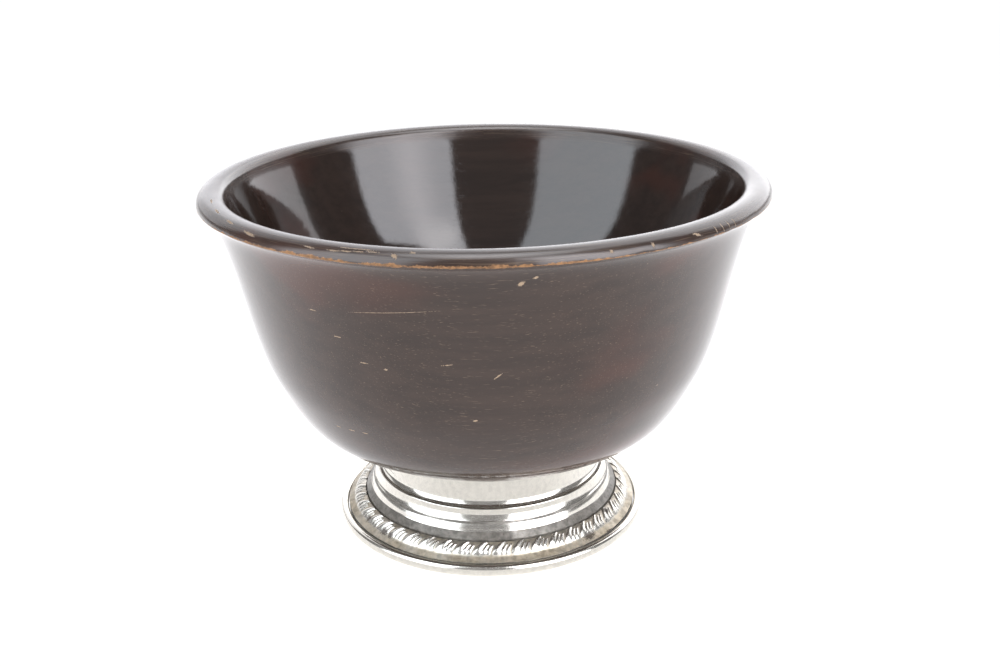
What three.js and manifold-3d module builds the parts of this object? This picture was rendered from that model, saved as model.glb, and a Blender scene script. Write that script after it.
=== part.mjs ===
// A turned wooden bowl on a silver foot, in millimetres, +Z up.
// The origin is on the table, on the axis that every piece is turned about.
// The foot is a spun shell with a border of slanted lobes and a wire edge. It is filled, closed
// by a sheet pan and held to the wood by one screw from below.
import * as THREE from "three";
import { mergeVertices } from "three/addons/utils/BufferGeometryUtils.js";
import Module from "manifold-3d";

const degrees = THREE.MathUtils.degToRad;

// Clearance between pieces that sit on, in or beside each other
const FIT = 0.3;

// The wooden bowl: radii from the axis, heights above its seat
const RIM_RADIUS = 76;
const BOWL_HEIGHT = 72.1;
const BELLY_RADIUS = 60.1;
const BELLY_HEIGHT = 22;
const SEAT_RADIUS = 33;
const BELLY_WALL = 20.6;
const BOWL_FLOOR = 11.5;
const PILOT_DEPTH = 9.2;

// The domed lip: its crest lies between a rounded mouth and a sharp outer edge
const LIP_WIDTH = 7.2;
const LIP_CREST = 3.7;
const LIP_OUTER_DROP = 3;
const LIP_INNER_DROP = 2.2;

// How far the bowl's outlines lean from straight up: outside at the seat, the belly and the lip,
// and inside at the belly's level and at the mouth
const SEAT_LEAN = degrees(83);
const BELLY_LEAN = degrees(25);
const FLARE_LEAN = degrees(63);
const BASIN_LEAN = degrees(53);
const MOUTH_LEAN = degrees(19);

// The silver foot: a straight collar, a ledge with an upright face, a curved flare down to a step,
// a cove and a sloping flange
const FOOT_RADIUS = 44.3;
const FOOT_HEIGHT = 25.7;
const SHEET = 0.7;
const COLLAR_RADIUS = 31;
const COLLAR_ROUND = 1;
const COLLAR_FILLET = 2;
const LEDGE_RADIUS = 33;
const LEDGE_HEIGHT = 14.2;
const LEDGE_ROUND = 0.35;
const LEDGE_FACE = 1.15;
const STEP_RADIUS = 34.95;
const STEP_HEIGHT = 8.4;
const COVE_HEIGHT = 6.75;

// How far the foot's faces are turned up at the fillet's end and at both ends of the flare
const FILLET_END = degrees(50);
const FLARE_TURN = degrees(14);

// The border of slanted lobes on the flange, and the wire edge round it
const BORDER_WIDTH = 5;
const BORDER_SLOPE = degrees(33);
const BORDER_HEIGHT = 6.3;
const BORDER_EDGE = 0.5;
const BORDER_SWELL = 0.5;
const LOBE_COUNT = 48;
const LOBE_HEIGHT = 0.5;
const WIRE_WIDTH = 2.2;
const WIRE_HEIGHT = 3;

// The filling, the closing pan, the screw and its washer
const CORE_MARGIN = 2.5;
const PAN_LIFT = 0.7;
const PAN_SHEET = 0.6;
const CUP_RADIUS = 8.5;
const CUP_DEPTH = 5.3;
const SCREW_RADIUS = 2.1;
const SCREW_TIP = 2.4;
const THREAD_DEPTH = 0.5;
const THREAD_PITCH = 2.1;
const THREAD_TURNS = 5;
const HEAD_RADIUS = 4;
const HEAD_EDGE = 0.8;
const HEAD_DOME = 1.6;
const SLOT_WIDTH = 1.2;
const SLOT_DEPTH = 1.1;
const WASHER_RADIUS = 6;
const WASHER_THICKNESS = 1;

// Shares: of a curve's span that each of its ends pulls, of the border's width that its lobes
// cross, of a turn between two lobes that each one slants, and of the wire that is rounded inside
const LOWER_PULLS = [0.46, 0.5];
const UPPER_PULLS = [0.294, 0.175];
const FLOOR_PULLS = [0.4, 0.35];
const WALL_PULLS = [0.39, 0.5];
const FLARE_PULLS = [0.6, 0.7];
const LOBED_SHARE = 0.68;
const LOBE_SLANT = 0.55;
const WIRE_INNER_SHARE = 0.25;

// Steps round each turned piece and along its outline
const BOWL_STEPS = 56;
const FOOT_STEPS = 48;
const SMALL_STEPS = 24;
const SCREW_STEPS = 16;
const STEPS_PER_LOBE = 4;
const BORDER_ROWS = 6;
const ROWS_PER_THREAD = 4;
const LONG_CURVE_STEPS = 7;
const ARC_STEPS = 3;

// Finishes
const DARK_WOOD = { color: 0x4a3228, roughness: 0.35, metalness: 0 };
const SILVER = { color: 0xd9d2c4, roughness: 0.18, metalness: 1 };
const DULL_SILVER = { color: 0xb9b2a4, roughness: 0.35, metalness: 1 };
const FILLING = { color: 0x8d8478, roughness: 0.95, metalness: 0 };
const STEEL = { color: 0x8f8c86, roughness: 0.4, metalness: 1 };

// Directions, as angles from straight up
const OUTWARD = degrees(90);
const DOWNWARD = degrees(180);

// Levels and radii that several pieces share
const seatLevel = FOOT_HEIGHT + FIT;
const rimLevel = seatLevel + BOWL_HEIGHT;
const pilotRadius = SCREW_RADIUS + FIT;
const pilotTop = seatLevel + PILOT_DEPTH;
const wireInnerRadius = FOOT_RADIUS - WIRE_WIDTH;
const borderOuterRadius = wireInnerRadius - FIT;
const borderInnerRadius = borderOuterRadius - BORDER_WIDTH;
const panTop = PAN_LIFT + PAN_SHEET;
const cupRoof = PAN_LIFT + CUP_DEPTH;
const cupTop = cupRoof + PAN_SHEET;
const cupOuterRadius = CUP_RADIUS + PAN_SHEET;
const washerTop = cupRoof - FIT;
const washerBottom = washerTop - WASHER_THICKNESS;

const wasm = await Module();
wasm.setup();

const point = (radius, height) => new THREE.Vector2(radius, height);

// A curve between two points of an outline that leaves one and reaches the other at a given
// angle from straight up. Each pull is a share of the distance between the points.
function sweep(from, fromLean, to, toLean, [fromPull, toPull], steps) {
  const span = from.distanceTo(to);
  const leaving = point(Math.sin(fromLean), Math.cos(fromLean)).multiplyScalar(span * fromPull);
  const arriving = point(Math.sin(toLean), Math.cos(toLean)).multiplyScalar(-span * toPull);
  return new THREE.CubicBezierCurve(from, leaving.add(from), arriving.add(to), to).getPoints(steps);
}

// An arc about a centre, between two angles measured from the outward direction.
function arc(centre, across, up, startAngle, endAngle, steps) {
  const backwards = endAngle < startAngle;
  const curve = new THREE.EllipseCurve(
    centre.x, centre.y, across, up, startAngle, endAngle, backwards);
  return curve.getPoints(steps);
}

// An outline moved sideways by a distance, to the right of the way that it runs.
function beside(outline, distance) {
  return outline.map((here, index) => {
    const before = outline[Math.max(index - 1, 0)];
    const after = outline[Math.min(index + 1, outline.length - 1)];
    const along = after.clone().sub(before).normalize();
    return point(here.x + along.y * distance, here.y - along.x * distance);
  });
}

// A solid turned about Z, from an outline that closes on itself or starts and ends on the axis.
function turned(outline, steps) {
  const loop = outline[0].x === 0 ? [...outline] : [...outline, outline[0].clone()];
  if (THREE.ShapeUtils.area(outline) < 0) loop.reverse();
  return new THREE.LatheGeometry(loop, steps).rotateX(Math.PI / 2);
}

// Moves every vertex off the axis to the radius and height that a rule gives for it.
function displaced(geometry, rule) {
  const positions = geometry.getAttribute("position");
  for (let index = 0; index < positions.count; index += 1) {
    const vertex = new THREE.Vector3().fromBufferAttribute(positions, index);
    const radius = Math.hypot(vertex.x, vertex.y);
    if (radius === 0) continue;
    const moved = rule(radius, Math.atan2(vertex.y, vertex.x), vertex.z);
    const share = moved.x / radius;
    positions.setXYZ(index, vertex.x * share, vertex.y * share, moved.y);
  }
  return geometry;
}

// One named sub-part.
function piece(name, geometry, finish) {
  const mesh = new THREE.Mesh(geometry, new THREE.MeshStandardMaterial(finish));
  mesh.name = name;
  return mesh;
}

// A closed geometry as a solid that can be cut.
function solidOf(geometry) {
  const merged = mergeVertices(geometry.clone().deleteAttribute("normal").deleteAttribute("uv"));
  return new wasm.Manifold(new wasm.Mesh({
    numProp: 3,
    vertProperties: merged.attributes.position.array,
    triVerts: new Uint32Array(merged.index.array),
  }));
}

// A cut solid as a geometry again.
function geometryOf(solid) {
  const { vertProperties, triVerts } = solid.getMesh();
  const geometry = new THREE.BufferGeometry();
  geometry.setAttribute("position", new THREE.BufferAttribute(vertProperties, 3));
  return geometry.setIndex(new THREE.BufferAttribute(triVerts, 1));
}

// The bowl's outer outline, from the edge of its seat up to the sharp edge under the lip.
function bowlOutside() {
  const seatEdge = point(SEAT_RADIUS, seatLevel);
  const belly = point(BELLY_RADIUS, seatLevel + BELLY_HEIGHT);
  const lipEdge = point(RIM_RADIUS, rimLevel - LIP_OUTER_DROP);
  const lower = sweep(seatEdge, SEAT_LEAN, belly, BELLY_LEAN, LOWER_PULLS, LONG_CURVE_STEPS);
  const upper = sweep(belly, BELLY_LEAN, lipEdge, FLARE_LEAN, UPPER_PULLS, LONG_CURVE_STEPS);
  return [...lower, ...upper.slice(1)];
}

// The domed lip, from its sharp outer edge over the crest to the mouth.
function lip() {
  const crestRadius = RIM_RADIUS - LIP_CREST;
  const outerCentre = point(crestRadius, rimLevel - LIP_OUTER_DROP);
  const innerCentre = point(crestRadius, rimLevel - LIP_INNER_DROP);
  const innerWidth = LIP_WIDTH - LIP_CREST;
  const outer = arc(outerCentre, LIP_CREST, LIP_OUTER_DROP, 0, degrees(90), ARC_STEPS);
  const inner = arc(innerCentre, innerWidth, LIP_INNER_DROP, degrees(90), degrees(180), ARC_STEPS);
  return [...outer, ...inner.slice(1)];
}

// The bowl's inner outline, from the mouth down to the middle of the floor.
function bowlInside() {
  const mouth = point(RIM_RADIUS - LIP_WIDTH, rimLevel - LIP_INNER_DROP);
  const basin = point(BELLY_RADIUS - BELLY_WALL, seatLevel + BELLY_HEIGHT);
  const floor = point(0, seatLevel + BOWL_FLOOR);
  const bottom = sweep(floor, OUTWARD, basin, BASIN_LEAN, FLOOR_PULLS, LONG_CURVE_STEPS);
  const side = sweep(basin, BASIN_LEAN, mouth, MOUTH_LEAN, WALL_PULLS, LONG_CURVE_STEPS);
  return [...bottom, ...side.slice(1)].reverse();
}

// The turned bowl, with a blind pilot hole for the screw in its seat.
function woodenBowl() {
  const pilot = [point(0, pilotTop), point(pilotRadius, pilotTop), point(pilotRadius, seatLevel)];
  const outline = [...pilot, ...bowlOutside(), ...lip().slice(1), ...bowlInside().slice(1)];
  return piece("wooden_bowl", turned(outline, BOWL_STEPS), DARK_WOOD);
}

// The level of the border's underside at a radius. It slopes down to the wire edge.
const borderUnderside = (radius) =>
  BORDER_HEIGHT - BORDER_EDGE - (radius - borderInnerRadius) * Math.tan(BORDER_SLOPE);

// The level of the flange that the border lies on.
const flangeLevel = (radius) => borderUnderside(radius) - FIT / Math.cos(BORDER_SLOPE);

// The foot's outer outline, from the hole in its seat disc down to the edge of its flange. The
// sheet is thicker at the ledge, so its inner face follows the outline without the ledge.
function shellOutline(hasLedge) {
  const hole = point(pilotRadius, FOOT_HEIGHT);
  const shoulderCentre = point(COLLAR_RADIUS - COLLAR_ROUND, FOOT_HEIGHT - COLLAR_ROUND);
  const shoulder = arc(shoulderCentre, COLLAR_ROUND, COLLAR_ROUND, degrees(90), 0, ARC_STEPS);
  const filletCentre = point(COLLAR_RADIUS + COLLAR_FILLET,
    LEDGE_HEIGHT + COLLAR_FILLET * Math.sin(FILLET_END));
  const fillet = arc(filletCentre, COLLAR_FILLET, COLLAR_FILLET,
    degrees(180), degrees(180) + FILLET_END, ARC_STEPS);
  const ledgeCentre = point(LEDGE_RADIUS - LEDGE_ROUND, LEDGE_HEIGHT - LEDGE_ROUND);
  const ledge = arc(ledgeCentre, LEDGE_ROUND, LEDGE_ROUND, degrees(90), 0, ARC_STEPS);
  const ledgeFoot = point(LEDGE_RADIUS, ledgeCentre.y - LEDGE_FACE);
  const flareLean = DOWNWARD - FLARE_TURN;
  const stepFoot = point(STEP_RADIUS, STEP_HEIGHT);
  const flare = sweep(ledgeFoot, flareLean, stepFoot, flareLean, FLARE_PULLS, LONG_CURVE_STEPS);
  const coveRadius = borderInnerRadius - FIT;
  const flange = [coveRadius, borderOuterRadius].map((radius) => point(radius, flangeLevel(radius)));
  return [hole, ...shoulder, ...fillet, ...(hasLedge ? ledge : []), ...flare,
    point(coveRadius, COVE_HEIGHT), ...flange];
}

// The spun shell of the foot, one sheet thick but for its ledge.
function footShell() {
  const inside = beside(shellOutline(false), SHEET).reverse();
  return piece("foot_shell", turned([...shellOutline(true), ...inside], FOOT_STEPS), SILVER);
}

// The ornamental border, a ring on the flange whose lobes slant across its inner part.
function gadroonBorder() {
  const swell = (share) => Math.sin(Math.PI * THREE.MathUtils.clamp(share / LOBED_SHARE, 0, 1));
  const radiusAt = (share) => borderInnerRadius + share * BORDER_WIDTH;
  const lobedRows = Array.from({ length: BORDER_ROWS - 1 }, (_, row) =>
    (LOBED_SHARE * row) / (BORDER_ROWS - 2));
  const top = [...lobedRows, 1].map((share) => point(radiusAt(share),
    borderUnderside(radiusAt(share)) + BORDER_EDGE + BORDER_SWELL * swell(share)));
  const under = [1, 0].map((share) => point(radiusAt(share), borderUnderside(radiusAt(share))));
  const ring = turned([...top, ...under], LOBE_COUNT * STEPS_PER_LOBE);
  const lobed = displaced(ring, (radius, angle, height) => {
    const share = (radius - borderInnerRadius) / BORDER_WIDTH;
    const isTop = height > borderUnderside(radius) + BORDER_EDGE / 2;
    const wave = Math.cos(LOBE_COUNT * angle + 2 * Math.PI * LOBE_SLANT * share);
    const rise = isTop ? (LOBE_HEIGHT * swell(share) * (1 + wave)) / 2 : 0;
    return point(radius, height + rise);
  });
  return piece("gadroon_border", lobed, SILVER);
}

// The wire edge, flat below where it stands on the table.
function wireEdge() {
  const middle = wireInnerRadius + WIRE_WIDTH / 2;
  const innerHeight = WIRE_HEIGHT * WIRE_INNER_SHARE;
  const outer = arc(point(middle, WIRE_HEIGHT / 2), WIRE_WIDTH / 2, WIRE_HEIGHT / 2,
    degrees(-90), degrees(90), LONG_CURVE_STEPS);
  const inner = arc(point(middle, WIRE_HEIGHT - innerHeight), WIRE_WIDTH / 2, innerHeight,
    degrees(90), degrees(180), ARC_STEPS);
  const outline = [point(wireInnerRadius, 0), ...outer, ...inner.slice(1)];
  return piece("wire_edge", turned(outline, FOOT_STEPS), SILVER);
}

// The hard filling, between the shell and the pan, with a hole for the screw.
function footCore() {
  const inside = beside(shellOutline(false), SHEET + FIT).slice(0, -1);
  const edgeRadius = borderOuterRadius - CORE_MARGIN;
  const edgeTop = flangeLevel(edgeRadius) - (SHEET + FIT) / Math.cos(BORDER_SLOPE);
  const outline = [...inside,
    point(edgeRadius, edgeTop), point(edgeRadius, panTop + FIT),
    point(cupOuterRadius + FIT, panTop + FIT), point(cupOuterRadius + FIT, cupTop + FIT),
    point(pilotRadius, cupTop + FIT)];
  return piece("foot_core", turned(outline, FOOT_STEPS), FILLING);
}

// The sheet pan that closes the underside, with a sunk cup in the middle for the screw's head.
function basePan() {
  const outline = [
    point(borderOuterRadius, PAN_LIFT), point(borderOuterRadius, panTop),
    point(cupOuterRadius, panTop), point(cupOuterRadius, cupTop),
    point(pilotRadius, cupTop), point(pilotRadius, cupRoof),
    point(CUP_RADIUS, cupRoof), point(CUP_RADIUS, PAN_LIFT),
  ];
  return piece("base_pan", turned(outline, FOOT_STEPS), DULL_SILVER);
}

// The plain washer under the roof of the cup.
function screwWasher() {
  const outline = [
    point(pilotRadius, washerBottom), point(WASHER_RADIUS, washerBottom),
    point(WASHER_RADIUS, washerTop), point(pilotRadius, washerTop),
  ];
  return piece("screw_washer", turned(outline, SMALL_STEPS), STEEL);
}

// The slotted wood screw, from its domed head in the cup up to its point in the wood.
function centreScrew() {
  const headTop = washerBottom - FIT;
  const domeLevel = headTop - HEAD_EDGE;
  const headBottom = domeLevel - HEAD_DOME;
  const tip = pilotTop - FIT;
  const threadTop = tip - SCREW_TIP;
  const threadBottom = threadTop - THREAD_TURNS * THREAD_PITCH;
  const rowHeight = THREAD_PITCH / ROWS_PER_THREAD;
  const dome = arc(point(0, domeLevel), HEAD_RADIUS, HEAD_DOME, degrees(-90), 0, ARC_STEPS);
  const thread = Array.from({ length: THREAD_TURNS * ROWS_PER_THREAD + 1 }, (_, row) =>
    point(SCREW_RADIUS - THREAD_DEPTH, threadBottom + row * rowHeight));
  const outline = [point(0, headBottom), ...dome.slice(1), point(HEAD_RADIUS, headTop),
    point(SCREW_RADIUS, headTop), point(SCREW_RADIUS, threadBottom - rowHeight), ...thread,
    point(0, tip)];
  const body = displaced(turned(outline, SCREW_STEPS), (radius, angle, height) => {
    const inThread = height > threadBottom - rowHeight / 2 && height < threadTop + rowHeight / 2;
    const turn = (height - threadBottom) / THREAD_PITCH - angle / (2 * Math.PI);
    const ridge = Math.abs(2 * (turn - Math.floor(turn)) - 1);
    return point(inThread ? radius + THREAD_DEPTH * ridge : radius, height);
  });
  const slot = new THREE.BoxGeometry(SLOT_WIDTH, 4 * HEAD_RADIUS, 2 * SLOT_DEPTH);
  const slotted = solidOf(body).subtract(solidOf(slot.translate(0, 0, headBottom)));
  return piece("centre_screw", geometryOf(slotted), STEEL);
}

const footedBowl = new THREE.Group();
footedBowl.add(woodenBowl(), footShell(), gadroonBorder(), wireEdge(), footCore(), basePan(),
  screwWasher(), centreScrew());

export default footedBowl;
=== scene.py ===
"""Dresses a turned wooden bowl on a silver foot and sets it up for its photograph.

Sizes are in metres, in the part's own frame: +Z up along the turning axis, the table at Z = 0
and the camera on the -Y side. A turn is an angle round the axis from the camera's side, and it
grows towards +X. Outlines run in the plane of radius and height.
"""

import logging
from collections.abc import Callable, Sequence
from dataclasses import dataclass, replace
from enum import Enum
from functools import cache, cached_property, partial, reduce
from math import atan2, copysign, cos, hypot, pi, radians, sin, tan

import bmesh
import bpy
from mathutils import Matrix, Vector, noise
from mathutils.geometry import interpolate_bezier


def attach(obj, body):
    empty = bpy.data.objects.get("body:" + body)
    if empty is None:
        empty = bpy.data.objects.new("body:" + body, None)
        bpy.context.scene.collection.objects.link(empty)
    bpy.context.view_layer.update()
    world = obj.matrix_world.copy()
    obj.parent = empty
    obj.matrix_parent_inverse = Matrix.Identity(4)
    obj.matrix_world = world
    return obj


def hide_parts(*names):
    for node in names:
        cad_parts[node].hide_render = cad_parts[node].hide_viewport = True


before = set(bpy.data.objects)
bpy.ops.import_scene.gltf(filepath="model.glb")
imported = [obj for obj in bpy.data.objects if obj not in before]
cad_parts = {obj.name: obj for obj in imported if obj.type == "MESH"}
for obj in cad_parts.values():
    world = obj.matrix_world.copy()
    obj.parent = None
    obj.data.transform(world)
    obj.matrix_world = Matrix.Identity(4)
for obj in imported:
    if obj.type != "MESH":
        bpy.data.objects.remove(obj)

logging.basicConfig(level=logging.INFO, format="%(message)s")
log = logging.getLogger("bowl")

Object = bpy.types.Object
Socket = bpy.types.NodeSocket
Tree = bpy.types.ShaderNodeTree

MM = 0.001
BODY = "root"
UP = Vector((0, 0, 1))
SHARP_ANGLE = radians(38)
TINY = 1e-7

# Sizes and levels that several pieces share
FIT = 0.3 * MM
FOOT_RADIUS = 44.3 * MM
FOOT_HEIGHT = 25.7 * MM
SEAT_LEVEL = FOOT_HEIGHT + FIT
RIM_LEVEL = SEAT_LEVEL + 72.1 * MM
RIM_RADIUS = 76 * MM
LIP_OUTER_DROP = 3 * MM
EDGE_LEVEL = RIM_LEVEL - LIP_OUTER_DROP
PILOT_RADIUS = 2.4 * MM
PILOT_TOP = SEAT_LEVEL + 9.2 * MM
WIRE_WIDTH = 2.2 * MM
WIRE_INNER_RADIUS = FOOT_RADIUS - WIRE_WIDTH
BORDER_WIDTH = 5 * MM
BORDER_OUTER_RADIUS = WIRE_INNER_RADIUS - FIT
BORDER_INNER_RADIUS = BORDER_OUTER_RADIUS - BORDER_WIDTH
BORDER_SLOPE = radians(33)
BORDER_LEVEL = 6.3 * MM
BORDER_EDGE = 0.5 * MM
PAN_LIFT = 0.7 * MM
PAN_SHEET = 0.6 * MM
CUP_ROOF = PAN_LIFT + 5.3 * MM
WASHER_TOP = CUP_ROOF - FIT
WASHER_BOTTOM = WASHER_TOP - 1 * MM

# Readings of the bowl's polish
WALL_POLISH = 0.0
LIP_POLISH = 0.6
INSIDE_POLISH = 1.0


class Slot(Enum):
    """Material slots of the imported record."""

    WOOD = "turned_wood"
    SILVER = "polished_silver"
    DULL_SILVER = "dull_silver"
    STEEL = "steel"


class Reading(Enum):
    """How a float attribute of a mesh is named."""

    POLISH = "polish"
    # Tarnish in hollows, also carrying painted shade and a painted dark reflection on the foot's shell.
    RECESS = "recess"


def point(radius: float, height: float) -> Vector:
    """Returns a point of an outline."""
    return Vector((radius, height))


def sweep(
    start: Vector, start_lean: float, end: Vector, end_lean: float, pulls: tuple, steps: int
) -> list[Vector]:
    """Returns a smooth curve between two points of an outline.

    Args:
        start: The point that the curve leaves.
        start_lean: The angle from straight up at which it leaves.
        end: The point that it reaches.
        end_lean: The angle from straight up at which it arrives.
        pulls: How strongly each end holds its angle, as shares of the span.
        steps: Number of stretches.

    Returns:
        The curve's points, both ends among them.
    """
    span = (end - start).length
    leaving = start + Vector((sin(start_lean), cos(start_lean))) * span * pulls[0]
    arriving = end - Vector((sin(end_lean), cos(end_lean))) * span * pulls[1]
    return list(interpolate_bezier(start, leaving, arriving, end, steps + 1))


def arc(
    centre: Vector, across: float, up: float, start: float, end: float, steps: int
) -> list[Vector]:
    """Returns an arc of an ellipse in an outline's plane.

    Args:
        centre: The ellipse's centre.
        across: Its radius along the outline's radius.
        up: Its radius along the height.
        start: The first angle, from the outward direction.
        end: The last angle.
        steps: Number of stretches.

    Returns:
        The arc's points, both ends among them.
    """
    angles = [start + (end - start) * index / steps for index in range(steps + 1)]
    return [point(centre.x + across * cos(a), centre.y + up * sin(a)) for a in angles]


def beside(outline: list[Vector], distance: float) -> list[Vector]:
    """Returns an outline moved sideways.

    Args:
        outline: The outline's points.
        distance: How far it moves, to the right of the way that it runs.

    Returns:
        The moved points.
    """
    moved = []
    for index, here in enumerate(outline):
        before = outline[max(index - 1, 0)]
        after = outline[min(index + 1, len(outline) - 1)]
        along = (after - before).normalized()
        moved.append(point(here.x + along.y * distance, here.y - along.x * distance))
    return moved


def spun(
    outline: list[Vector], steps: int, kind: Reading = Reading.RECESS, readings: Sequence = ()
) -> bmesh.types.BMesh:
    """Returns a closed form turned about Z.

    Args:
        outline: Points of a loop, or of a line that starts and ends on the axis.
        steps: Steps round the axis.
        kind: What the readings are.
        readings: One value per point of the outline, or none.

    Returns:
        The form, with its faces turned outward.
    """
    form = bmesh.new()
    layer = form.verts.layers.float.new(kind.value) if readings else None
    verts = [form.verts.new((p.x, 0, p.y)) for p in outline]
    for vert, value in zip(verts, readings):
        vert[layer] = value
    edges = [form.edges.new(pair) for pair in zip(verts, verts[1:])]
    if outline[0].x > 0:
        edges.append(form.edges.new((verts[-1], verts[0])))
    bmesh.ops.spin(
        form, geom=verts + edges, axis=UP, cent=(0, 0, 0), angle=2 * pi, steps=steps, use_merge=True
    )
    bmesh.ops.remove_doubles(form, verts=form.verts, dist=TINY)
    bmesh.ops.recalc_face_normals(form, faces=form.faces)
    return form


def displaced(form: bmesh.types.BMesh, rule: Callable[[float, float, float], Vector]) -> None:
    """Moves a form's vertices.

    Args:
        form: The form.
        rule: Gives the new radius and height of a point from its radius, turn and height.
    """
    for vert in form.verts:
        radius = hypot(vert.co.x, vert.co.y)
        if radius < TINY:
            continue
        moved = rule(radius, atan2(vert.co.x, -vert.co.y), vert.co.z)
        share = moved.x / radius
        vert.co = Vector((vert.co.x * share, vert.co.y * share, moved.y))


def as_mesh(form: bmesh.types.BMesh, name: str) -> bpy.types.Mesh:
    """Returns a form as a mesh, and frees the form."""
    mesh = bpy.data.meshes.new(name)
    form.to_mesh(mesh)
    form.free()
    return mesh


def added(name: str, data: bpy.types.ID) -> Object:
    """Returns a new object in the scene."""
    thing = bpy.data.objects.new(name, data)
    bpy.context.scene.collection.objects.link(thing)
    return thing


def hidden(thing: Object, *rays: str) -> Object:
    """Hides an object from some kinds of rays and returns it."""
    for ray in rays:
        setattr(thing, f"visible_{ray}", False)
    return thing


def placed(form: bmesh.types.BMesh, name: str, material, node: str) -> Object:
    """Turns a form into a dressed piece that stands for a CAD node.

    Args:
        form: The finished form, which is freed.
        name: The piece's name.
        material: The piece's material.
        node: The CAD node that the piece stands for.

    Returns:
        The new object.
    """
    mesh = as_mesh(form, name)
    mesh.shade_smooth()
    mesh.set_sharp_from_angle(angle=SHARP_ANGLE)
    mesh.materials.append(material)
    piece = added(name, mesh)
    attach(piece, BODY)
    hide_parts(node)
    log.info("%s: %d faces", name, len(mesh.polygons))
    return piece


class Graph:
    """Adds nodes to a shader tree and joins them."""

    def __init__(self, tree: Tree) -> None:
        """Takes the tree that nodes go into."""
        self.tree = tree

    def feed(self, socket: Socket, value) -> None:
        """Links a socket to an output, or sets it to a constant.

        Args:
            socket: The input.
            value: An output to link to it, or its constant.
        """
        if isinstance(value, Socket):
            self.tree.links.new(value, socket)
        else:
            socket.default_value = value

    def add(self, kind: str, inputs: dict | None = None, **settings) -> bpy.types.Node:
        """Adds a node.

        Args:
            kind: The node's type.
            inputs: Links or constants, by the name or index of the input.
            **settings: Properties of the node.

        Returns:
            The node.
        """
        node = self.tree.nodes.new(kind)
        for name, value in settings.items():
            setattr(node, name, value)
        for name, value in (inputs or {}).items():
            self.feed(node.inputs[name], value)
        return node

    def math(self, operation: str, *values) -> Socket:
        """Returns the result of a math node."""
        return self.add("ShaderNodeMath", dict(enumerate(values)), operation=operation).outputs[0]

    def times(self, *values) -> Socket:
        """Returns the product of two values or more."""
        return reduce(partial(self.math, "MULTIPLY"), values)

    def plus(self, *values) -> Socket:
        """Returns the sum of two values or more."""
        return reduce(partial(self.math, "ADD"), values)

    def most(self, *values) -> Socket:
        """Returns the largest of two values or more."""
        return reduce(partial(self.math, "MAXIMUM"), values)

    def minus(self, first, second) -> Socket:
        """Returns the difference of two values."""
        return self.math("SUBTRACT", first, second)

    def squared(self, value) -> Socket:
        """Returns a value's square."""
        return self.math("POWER", value, 2)

    def stretched(self, vector, scales: tuple) -> Socket:
        """Returns a vector scaled by its own factor along each axis."""
        return self.add("ShaderNodeVectorMath", {0: vector, 1: scales}, operation="MULTIPLY").outputs[0]

    def ramp(self, value, low, high) -> Socket:
        """Returns a smooth 0 to 1 as a value goes from low to high."""
        limits = {"Value": value, "From Min": low, "From Max": high}
        return self.add("ShaderNodeMapRange", limits, interpolation_type="SMOOTHSTEP").outputs["Result"]

    def mix(self, share, first, second) -> Socket:
        """Returns a colour between two."""
        return self.add("ShaderNodeMix", {6: first, 7: second, 0: share}, data_type="RGBA").outputs[2]

    def blend(self, share, first, second) -> Socket:
        """Returns a value between two."""
        return self.add("ShaderNodeMix", {2: first, 3: second, 0: share}, data_type="FLOAT").outputs[0]

    def place(self) -> Socket:
        """Returns the object's own coordinates."""
        return self.add("ShaderNodeTexCoord").outputs["Object"]

    def clouds(self, vector, scale: float, detail: float = 3, roughness: float = 0.55):
        """Returns a noise value between 0 and 1."""
        inputs = {"Vector": vector, "Scale": scale, "Detail": detail, "Roughness": roughness}
        return self.add("ShaderNodeTexNoise", inputs).outputs["Fac"]

    def noise_here(self, settings: tuple) -> Socket:
        """Returns a noise value at the shaded point, from its scale, detail and roughness."""
        return self.clouds(self.place(), *settings)

    def rings(self, settings: tuple) -> Socket:
        """Returns a noise value drawn out round the turning axis.

        Args:
            settings: The noise's scale round the axis, its scale across, and its detail.

        Returns:
            The noise value.
        """
        around, across, detail = settings
        drawn_out = self.add("ShaderNodeCombineXYZ", {
            "X": self.times(self.here["Turn"], around),
            "Y": self.times(self.here["Radius"], across),
            "Z": self.times(self.here["Height"], across),
        })
        return self.clouds(drawn_out.outputs[0], 1, detail)

    def reading(self, kind: Reading) -> Socket:
        """Returns one of the mesh's readings."""
        return self.add("ShaderNodeAttribute", attribute_name=kind.value).outputs["Fac"]

    def effect(self, tree: Tree, **inputs) -> bpy.types.NodeOutputs:
        """Adds a node group.

        Args:
            tree: The group.
            **inputs: Links or constants, by the name of the input in lower case.

        Returns:
            The group's outputs.
        """
        node = self.add("ShaderNodeGroup", node_tree=tree)
        for name, value in inputs.items():
            self.feed(node.inputs[name.capitalize()], value)
        return node.outputs

    @cached_property
    def here(self) -> bpy.types.NodeOutputs:
        """The turn, radius and height of the shaded point."""
        return self.effect(turned_place())

    def band(self, value, low, high, soft) -> Socket:
        """Returns a mask that is 1 where a value lies between two limits."""
        return self.effect(band_mask(), value=value, low=low, high=high, soft=soft)["Mask"]


class Effect(Graph):
    """A shader node group under construction."""

    COLOURS = ("Dark", "Light", "Red", "Colour")

    def __init__(self, name: str, inputs: str, outputs: str) -> None:
        """Starts a group.

        Args:
            name: The group's name.
            inputs: The names of its inputs.
            outputs: The names of its outputs.
        """
        super().__init__(bpy.data.node_groups.new(name, "ShaderNodeTree"))
        for direction, names in (("INPUT", inputs), ("OUTPUT", outputs)):
            for socket in names.split():
                kind = "NodeSocketColor" if socket in self.COLOURS else "NodeSocketFloat"
                self.tree.interface.new_socket(socket, in_out=direction, socket_type=kind)
        self.given = self.add("NodeGroupInput").outputs
        self.result = self.add("NodeGroupOutput").inputs

    def give(self, **results) -> Tree:
        """Feeds the group's outputs and returns the finished group."""
        for name, value in results.items():
            self.feed(self.result[name.capitalize()], value)
        return self.tree


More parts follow.
